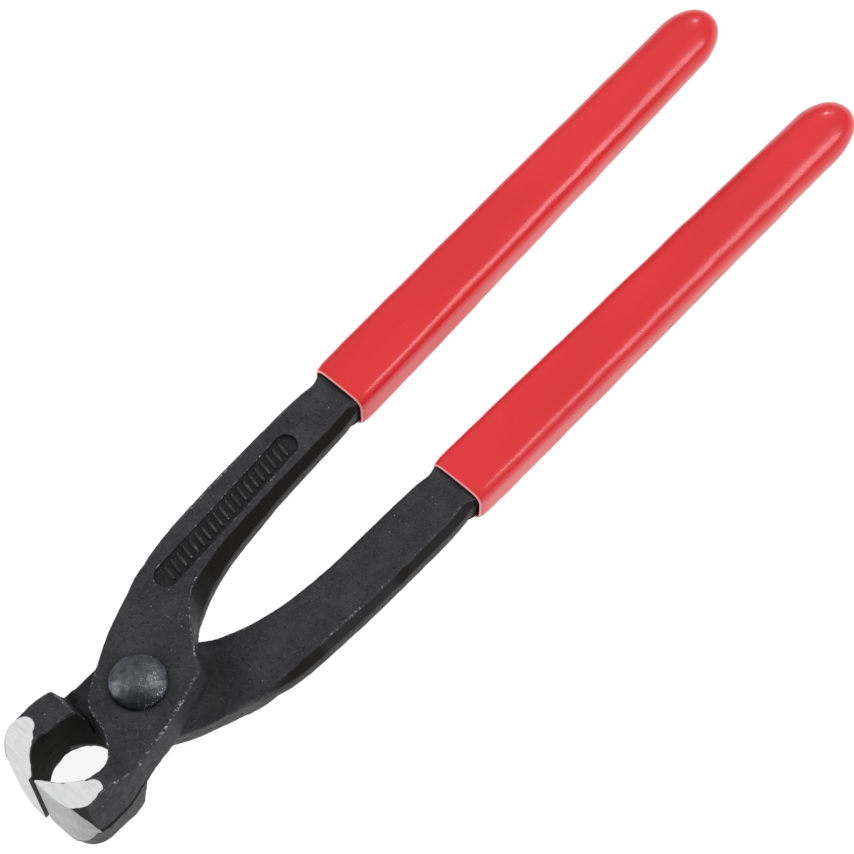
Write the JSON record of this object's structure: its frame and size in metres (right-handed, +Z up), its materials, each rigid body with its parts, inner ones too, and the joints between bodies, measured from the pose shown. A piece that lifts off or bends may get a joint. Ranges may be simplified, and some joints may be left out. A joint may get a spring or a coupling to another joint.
{
  "type": "end cutting nippers",
  "caption": "End-cutting pincers with lapped forged levers on a domed rivet and red slip-on handle sleeves.",
  "frame": {"origin": "centre of the footprint, at the level that the tool's jaws rest on", "axes": "+X from the jaws to the handle ends, +Y to the handle of the front lever, +Z up along the rivet"},
  "size_m": [0.22, 0.049, 0.0224],
  "materials": {
    "black_forging": "satin black phosphated forging with ground bright jaw faces",
    "rivet_steel": "dark blued steel, semi-gloss, scuffed",
    "red_sleeve": "glossy soft plastic"
  },
  "bodies": {
    "front_half": {"front_lever": "black_forging", "pivot_rivet": "rivet_steel", "front_sleeve": "red_sleeve"},
    "rear_half": {"rear_lever": "black_forging", "rear_sleeve": "red_sleeve"}
  },
  "joints": [
    {"name": "rivet_pivot", "type": "hinge", "parent": "front_half", "child": "rear_half", "pos_m": [-0.0835, 0, 0.0112], "axis": [0, 0, -1], "range_deg": [-1.3, 60]}
  ]
}
